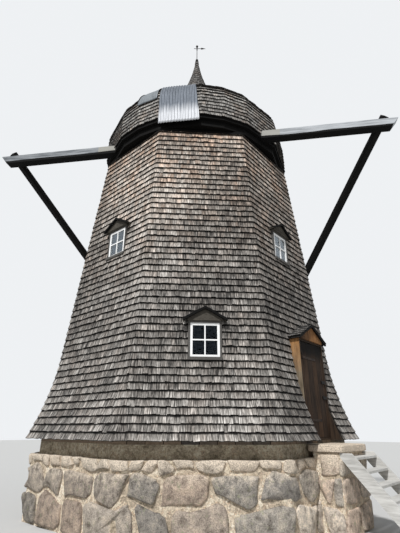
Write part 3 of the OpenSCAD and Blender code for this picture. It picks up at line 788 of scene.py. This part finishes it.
def board_finish(name, dark, light, axis=2, scale=26.0, joints=0.0, hood_shadow_from=None):
    """Sawn wood: noise drawn out along one axis of the piece, slower stains over it, and if wanted planks
    of a given width, each with its own tone and a dark joint beside it. Above a given height it darkens
    nearly to black, a painted shadow of the hood overhead."""
    look = Finish(name, 0.75, gloss=0.08)
    size = [1.0, 1.0, 1.0]
    size[axis] = 0.08
    grain = look.noise(scale, 5.0, 0.65, 0.3, look.stretched(size))
    stain = look.noise(2.3, 2.0)
    slow = look.times(stain, 0.3)
    level = look.plus(look.times(grain, 0.85), slow, clamp=True)
    base = look.ramp(level, (0.32, dark), (0.78, light))
    if joints:
        across = look.plus(look.split()["X"], 20.0)
        plank = look.maths("DIVIDE", across, joints)
        number = look.maths("FLOOR", plank)
        own = look.add("TexWhiteNoise", {"W": number}, noise_dimensions="1D").outputs["Value"]
        base = look.tinted(base, look.ramp(own, (0.2, (0.50, 0.54, 0.62)), (0.8, (1.25, 1.15, 1.05))))
        share = look.maths("ABSOLUTE", look.maths("SUBTRACT", look.maths("FRACT", plank), 0.5))
        base = look.mixed(look.maths("GREATER_THAN", share, 0.48), base, (0.004, 0.004, 0.004))
    if hood_shadow_from:
        # Painted shadow of the hood: above the given height the wood darkens nearly to black
        height = look.scaled(stain, 0.12, look.split()["Z"])
        tarred = look.eased(height, hood_shadow_from, hood_shadow_from + 0.20)
        base = look.mixed(tarred, base, look.mixed(0.88, base, (0.003, 0.003, 0.003)))
    return look.coat(base, grain, 0.35, 0.004)


def beam_finish(name, black, dark, light, fresh, shade_top):
    """The spreader beam: bleached grey along its upper part, paler to the right, black below a wavy line as
    painted shade, and fresh pale wood in a short length on both sides of the cap."""
    look = Finish(name, 0.8, gloss=0.08)
    along = look.add("Mapping", {"Vector": look.world, "Rotation": (0.0, 0.0, -CAP_TURN)}).outputs[0]
    place = look.split(along)
    drawn = look.stretched((0.08, 1.0, 1.0), along)
    grain = look.noise(16.0, 5.0, 0.65, 0.3, drawn)
    shift = look.scaled(place["X"], 0.025, 0.02)
    base = look.ramp(look.plus(grain, shift, clamp=True), (0.30, dark), (0.72, light))
    near = look.maths("LESS_THAN", look.maths("ABSOLUTE", place["X"]), 2.68)
    base = look.mixed(near, base, look.mixed(0.85, base, fresh))
    # Painted shade: black below a wavy line over the beam's lower part
    line = look.scaled(look.noise(5.0, 3.0, vector=drawn), 0.12, shade_top - 0.06)
    base = look.mixed(look.maths("LESS_THAN", place["Z"], line), base, black)
    return look.coat(base, grain, 0.35, 0.004)


def gable_finish(name, dark, warm):
    """The door's hood: tarred on the roof slopes, warm unpainted wood on the filled triangle under them,
    darker towards its left corner."""
    look = Finish(name, 0.8)
    place = look.split()
    off = look.maths("ABSOLUTE", look.maths("SUBTRACT", place["X"], DOOR_MIDDLE))
    ridge = DOOR_HOOD_FOOT + DOOR_HOOD_RISE - 0.004
    edge = look.scaled(off, -DOOR_HOOD_RISE / DOOR_HOOD_HALF, ridge)
    inside = look.maths("LESS_THAN", place["Z"], edge)
    grain = look.noise(30.0, 5.0, 0.65, vector=look.stretched((1.0, 1.0, 0.1)))
    tarred = look.ramp(grain, (0.3, dark), (0.75, (0.035, 0.032, 0.030)))
    plain = look.ramp(grain, (0.30, (0.085, 0.036, 0.014)), (0.72, warm))
    across = look.eased(place["X"], DOOR_MIDDLE - 0.45, DOOR_MIDDLE + 0.05)
    plain = look.mixed(across, look.mixed(0.75, plain, (0.02, 0.015, 0.012)), plain)
    return look.coat(look.mixed(inside, tarred, plain), grain, 0.4, 0.004)


def cheek_finish(name, side):
    """Door frame: dark brown, with the left jamb's outer cheek bare and orange at the top, greying and
    darkening down."""
    look = Finish(name, 0.78)
    place = look.split()
    grain = look.noise(32.0, 5.0, 0.7, vector=look.stretched((1.0, 1.0, 0.06)))
    frame_wood = look.ramp(grain, (0.3, (0.010, 0.007, 0.005)), (0.75, (0.060, 0.038, 0.024)))
    bare = look.ramp(grain, (0.25, (0.12, 0.050, 0.018)), (0.70, (0.50, 0.27, 0.11)))
    greyed = look.ramp(grain, (0.25, (0.035, 0.026, 0.018)), (0.70, (0.26, 0.205, 0.14)))
    drift = look.scaled(look.noise(5.0, 3.0), 0.5, -0.25)
    high = look.eased(look.plus(place["Z"], drift), 2.75, 3.40)
    outer = look.maths("LESS_THAN", place["X"], side)
    base = look.mixed(outer, frame_wood, look.mixed(high, greyed, bare))
    return look.coat(base, grain, 0.4, 0.004)


def stone_finish(name):
    """Fieldstone: each stone its own grey, pink or tan, mottled by crystals, pale lichen and dark specks.
    The stones of the left side are darker than those by the landing, and pale mortar is smeared over the
    top course."""
    look = Finish(name, 0.88)
    own = look.tones()[0]
    base = look.ramp(own, (0.0, (0.27, 0.25, 0.23)), (0.30, (0.37, 0.335, 0.295)),
                     (0.60, (0.50, 0.395, 0.32)), (0.82, (0.45, 0.39, 0.335)), (1.0, (0.60, 0.53, 0.455)))
    mottle = look.noise(7.0, 7.0, 0.72)
    speck = look.noise(55.0, 4.0, 0.75)
    shade = look.ramp(mottle, (0.34, (0.32, 0.30, 0.28)), (0.50, (0.90, 0.90, 0.89)),
                      (0.66, (1.42, 1.37, 1.27)))
    base = look.tinted(base, shade, 0.9)
    dots = look.ramp(speck, (0.36, (0.38, 0.37, 0.36)), (0.50, (0.95, 0.95, 0.95)),
                     (0.66, (1.35, 1.33, 1.30)))
    base = look.tinted(base, dots, 0.8)
    lichen = look.noise(12.0, 5.0, 0.8)
    base = look.mixed(look.eased(lichen, 0.58, 0.66), base, (0.30, 0.30, 0.20))
    place = look.split()
    darker_to_left = look.eased(look.maths("SUBTRACT", place["X"], place["Y"]), -4.0, 4.0, 0.70, 1.22)
    base = look.tinted(base, darker_to_left)
    reach = look.scaled(mottle, 0.9, look.maths("SUBTRACT", place["Z"], 0.45))
    smear = look.eased(reach, 0.86, 1.16, end=0.75)
    base = look.mixed(smear, base, look.tinted((0.70, 0.60, 0.48), dots))
    relief = look.plus(mottle, look.times(speck, 0.35))
    return look.coat(base, relief, 0.9, 0.03)


def mortar_finish(name, tint):
    """Lime mortar: warm, pale and gritty, with stone chips and damp patches."""
    look = Finish(name, 0.95)
    grit = look.noise(38.0, 6.0, 0.75)
    damp = look.noise(2.5, 4.0, 0.6)
    chips = look.cells(24.0)
    base = look.ramp(damp, (0.32, (0.36, 0.305, 0.24)), (0.50, (0.62, 0.53, 0.43)),
                     (0.68, (0.80, 0.71, 0.60)))
    shade = look.ramp(grit, (0.34, (0.40, 0.38, 0.36)), (0.60, (1.15, 1.12, 1.08)))
    base = look.tinted(base, shade, 0.9)
    base = look.tinted(look.mixed(0.30, base, chips, "OVERLAY"), tint)
    return look.coat(base, look.scaled(chips, 0.5, grit), 1.0, 0.03)


def paint_finish(name, colour, worn, roughness=0.45):
    """Brushed paint with faint strokes and grey where it has worn."""
    look = Finish(name, roughness)
    wear = look.noise(14.0, 5.0, 0.7)
    strokes = look.noise(4.0, 3.0, vector=look.stretched((30.0, 30.0, 3.0)))
    return look.coat(look.ramp(wear, (0.30, worn), (0.42, colour)), strokes, 0.15, 0.001)


def sheet_finish(name, dark, light, painted_reflection=None):
    """Weathered zinc: soft spangle and rain streaks down the slope; below a wavy line it may carry a pale
    painted reflection."""
    look = Finish(name, 0.5, 0.35, 0.5)
    rain = look.noise(2.0, 4.0, 0.6, vector=look.stretched((12.0, 12.0, 0.8)))
    spangle = look.times(look.cells(45.0), 0.2)
    level = look.plus(look.times(rain, 0.8), spangle)
    base = look.ramp(level, (0.3, dark), (0.7, light))
    if painted_reflection:
        # Painted reflection: a pale band below a wavy line near the sheet's foot
        edge = look.plus(look.split()["Z"], look.times(rain, 0.42))
        base = look.mixed(look.eased(edge, 9.66, 9.98, 1.0, 0.0), base, painted_reflection)
    look.give(Base_Color=base, Roughness=look.eased(rain, 0.0, 1.0, 0.38, 0.62))
    return look.material


def iron_finish(name, black, rusty):
    """Black wrought iron, hammered, with brown rust in the hollows."""
    look = Finish(name, 0.6, 0.3)
    rust = look.noise(18.0, 5.0, 0.7)
    hammer = look.noise(60.0, 2.0)
    return look.coat(look.ramp(rust, (0.45, black), (0.74, rusty)), hammer, 0.4, 0.002)


def glass_finish(name):
    """Old window glass, slightly wavy, over a dark room; the upper panes mirror more of the sky, a painted
    reflection made by a higher index of refraction up there.
    """
    look = Finish(name, 0.02, gloss=0.5)
    # Painted reflection: the index rises with height, so the upper panes mirror more of the sky
    painted_mirror = look.eased(look.split()["Z"], 4.0, 5.0, 1.25, 1.9)
    look.give(Specular_Tint=(0.70, 0.83, 1.0), Transmission_Weight=1.0, IOR=painted_mirror)
    return look.coat((0.62, 0.68, 0.68), look.noise(5.0, 1.0), 0.08, 0.01)


def dress_nodes(finishes):
    """Gives every CAD node its finish."""
    for name, finish in finishes.items():
        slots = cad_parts[name].data.materials
        slots.clear()
        slots.append(finish)


SHINGLE = shingle_finish("weathered_shingle", (0.035, 0.033, 0.031), (0.235, 0.220, 0.202),
                         (0.80, 0.76, 0.71), (1.19, 0.95, 0.81), tan=(1.07, 0.99, 0.92))
CAP_SHINGLE = shingle_finish("cap_shingle", (0.022, 0.021, 0.020), (0.145, 0.138, 0.130),
                             (0.58, 0.56, 0.52), (1.15, 0.95, 0.82))
SPIRE_SHINGLE = shingle_finish("spire_shingle", (0.018, 0.017, 0.016), (0.095, 0.090, 0.085),
                               (0.32, 0.31, 0.29), (1.10, 0.96, 0.86))
# Near black: tarred boards, and painted shade for the cap's underside and the band under its eave
SHADOW_BLACK_BACKING = board_finish("roof_boards", (0.002, 0.002, 0.002), (0.006, 0.0055, 0.005))
ROOM_BOARD = board_finish("wall_boards", (0.03, 0.026, 0.022), (0.10, 0.088, 0.075))
BEAM = beam_finish("bleached_beam", (0.006, 0.006, 0.006), (0.12, 0.13, 0.14), (0.48, 0.50, 0.52),
                   (0.36, 0.35, 0.31), 9.318)
DARK_TIMBER = board_finish("tarred_timber", (0.002, 0.002, 0.002), (0.012, 0.0115, 0.011), scale=18.0)
TARRED = board_finish("tarred_board", (0.002, 0.002, 0.002), (0.009, 0.0085, 0.008), axis=0, scale=20.0)
FLOOR = board_finish("floor_boards", (0.10, 0.08, 0.06), (0.24, 0.20, 0.16), axis=0, joints=0.22)
GREY_BOARD = board_finish("bleached_board", (0.30, 0.29, 0.27), (0.68, 0.67, 0.64), axis=1)
# The door leaf darkens above 3.10 m: a painted shadow of the hood over it
DOOR_BOARD = board_finish("door_board", (0.010, 0.0075, 0.006), (0.108, 0.067, 0.042), scale=30.0,
                          joints=0.205, hood_shadow_from=3.10)
JAMB_BOARD = cheek_finish("jamb_board", -0.4375)
HOOD_BOARD = gable_finish("hood_board", (0.008, 0.008, 0.008), (0.34, 0.17, 0.068))
CASING = paint_finish("casing_paint", (0.085, 0.080, 0.074), (0.17, 0.16, 0.15), 0.6)
HOOD_INFILL = board_finish("hood_infill", (0.034, 0.030, 0.025), (0.094, 0.085, 0.071), axis=0, scale=22.0)
WHITE = paint_finish("white_sash_paint", (0.90, 0.90, 0.89), (0.72, 0.72, 0.70))
STONE = stone_finish("fieldstone")
MORTAR = mortar_finish("lime_mortar", (1.22, 1.22, 1.18))
# Darker, greyer copy of the lime mortar for the sill ring: its own grey plaster, deepened by painted shade
# under the skirt
SHADED_SILL_MORTAR = mortar_finish("sill_mortar", (0.85, 0.87, 0.82))
# Its third colour is the painted reflection near the ribbed sheet's foot
BRIGHT_SHEET = sheet_finish("ribbed_zinc", (0.060, 0.072, 0.090), (0.14, 0.160, 0.19), (0.46, 0.47, 0.49))
DULL_SHEET = sheet_finish("smooth_zinc", (0.10, 0.115, 0.125), (0.19, 0.21, 0.225))
IRON = iron_finish("wrought_iron", (0.003, 0.003, 0.003), (0.016, 0.010, 0.007))
RUSTY_IRON = iron_finish("rusty_iron", (0.012, 0.008, 0.006), (0.060, 0.034, 0.020))
GLASS = glass_finish("window_glass")

tower_shingles(SHINGLE)
cap_shingles(CAP_SHINGLE)
spire_shingles(SPIRE_SHINGLE)
hood_boards(TARRED)
hood_shingles(CAP_SHINGLE)
plinth_stones(STONE)
pier_stones(STONE)
slab_stone("landing_slab", STONE, 3)
roof_sheet("ribbed_roof_sheet", "ribbed_sheet", edges=((-11.2, -11.2), (11.2, 6.2)), span=(-SHEET_HANG, 2.95),
           lift=0.070, wave=0.009, pitch=0.076, finish=BRIGHT_SHEET)
roof_sheet("smooth_roof_sheet", "smooth_sheet", edges=((-25.2, -25.2), (-12.3, -12.3)), span=(0.80, 2.95),
           lift=0.066, wave=0.0, pitch=1.0, finish=DULL_SHEET)
rolled_edge("sheet_seam", angle=-25.0, begin=0.95, end=2.6, lift=0.070, radius=0.020, finish=IRON)

dress_nodes({
    "plinth": MORTAR, "landing_pier": MORTAR, "landing_slab": STONE, "stair_stringers": GREY_BOARD,
    "stair_treads": GREY_BOARD, "sill_ring": SHADED_SILL_MORTAR, "ground_floor": FLOOR, "upper_floor": FLOOR,
    "curb_ring": SHADOW_BLACK_BACKING, "window_casings": CASING, "window_sashes": WHITE, "window_panes": GLASS,
    "window_hoods": HOOD_INFILL, "door_casing": JAMB_BOARD, "door_hood": HOOD_BOARD, "door_pintles": IRON,
    "door_leaf": DOOR_BOARD, "door_straps": RUSTY_IRON, "door_lock": IRON, "cap_ring": SHADOW_BLACK_BACKING,
    "cap_front": SHADOW_BLACK_BACKING, "cap_right": SHADOW_BLACK_BACKING, "cap_back": SHADOW_BLACK_BACKING, "cap_left": SHADOW_BLACK_BACKING, "spire": SHADOW_BLACK_BACKING,
    "ribbed_sheet": BRIGHT_SHEET, "smooth_sheet": DULL_SHEET, "spreader_beam": BEAM, "braces": DARK_TIMBER,
    "tail_pole": DARK_TIMBER, "vane_rod": IRON, "vane": IRON,
    **{name: ROOM_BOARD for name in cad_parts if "wall" in name},
})


# Floor, light and camera

def stage_floor():
    """A plain pale floor far past the mill, a hair under its foot."""
    reach, sunk = 60.0, 0.002
    grid = np.linspace(-reach, reach, 5)
    x, y = np.meshgrid(grid, grid, indexing="ij")
    p = np.stack([x, y, 0 * x - sunk], -1).reshape(-1, 3)
    mesh = bpy.data.meshes.new("floor")
    mesh.from_pydata(p.tolist(), [], grid_faces(5, 5)[:, ::-1].tolist())
    floor = bpy.data.objects.new("floor", mesh)
    bpy.context.scene.collection.objects.link(floor)
    finish = Finish("pale_floor", 0.9)
    finish.give(Base_Color=(0.52, 0.52, 0.51))
    mesh.materials.append(finish.material)
    floor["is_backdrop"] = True


def soft_light():
    """An even sky, a paler one where the camera, metal or glass sees it, and a broad sun high up behind the
    camera and a little to its left."""
    world = bpy.data.worlds.new("sky")
    bpy.context.scene.world = world
    world.use_nodes = True
    tree = world.node_tree
    tree.nodes.clear()
    rays = add_node(tree, "LightPath").outputs
    either = {0: rays["Is Glossy Ray"], 1: rays["Is Transmission Ray"]}
    mirrored = add_node(tree, "Math", either, operation="MAXIMUM").outputs[0]
    seen = add_node(tree, "Math", {0: rays["Is Camera Ray"], 1: mirrored}, operation="MAXIMUM")
    light = add_node(tree, "Background", {"Color": (0.93, 0.96, 1.0), "Strength": 0.42})
    shown = add_node(tree, "Background", {"Color": (0.86, 0.88, 0.90), "Strength": 1.0})
    mix = add_node(tree, "MixShader", {0: seen.outputs[0], 1: light.outputs[0], 2: shown.outputs[0]})
    add_node(tree, "OutputWorld", {0: mix.outputs[0]})
    sun = bpy.data.lights.new("sun", "SUN")
    sun.energy = 3.6
    sun.angle = np.radians(6)
    lamp = bpy.data.objects.new("sun", sun)
    bpy.context.scene.collection.objects.link(lamp)
    aim = mathutils.Vector((0.685, 0.235, -0.82))
    lamp.rotation_euler = aim.to_track_quat("-Z", "Y").to_euler()


def photo_camera():
    """Stands by the corner of the door side and looks up at the mill."""
    width, focal_pixels, sensor = 400, 382.8, 36.0
    heading, pitch, roll = np.radians([48.78, 23.05, 0.23])
    data = bpy.data.cameras.new("camera")
    data.sensor_fit = "HORIZONTAL"
    data.sensor_width = sensor
    data.lens = focal_pixels / width * sensor
    camera = bpy.data.objects.new("camera", data)
    bpy.context.scene.collection.objects.link(camera)
    turns = ((-heading, "Z"), (np.pi / 2 + pitch, "X"), (roll, "Z"))
    place = mathutils.Matrix.Translation((-7.872, -7.099, 1.684))
    for angle, axis in turns:
        place = place @ mathutils.Matrix.Rotation(angle, 4, axis)
    camera.matrix_world = place
    bpy.context.scene.camera = camera


stage_floor()
soft_light()
photo_camera()
bpy.context.scene.view_settings.view_transform = "Standard"

plain = lambda box: [[float(v) for v in corner] for corner in box]
{"cad": plain(CAD_BOX), "visual": plain(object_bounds())}
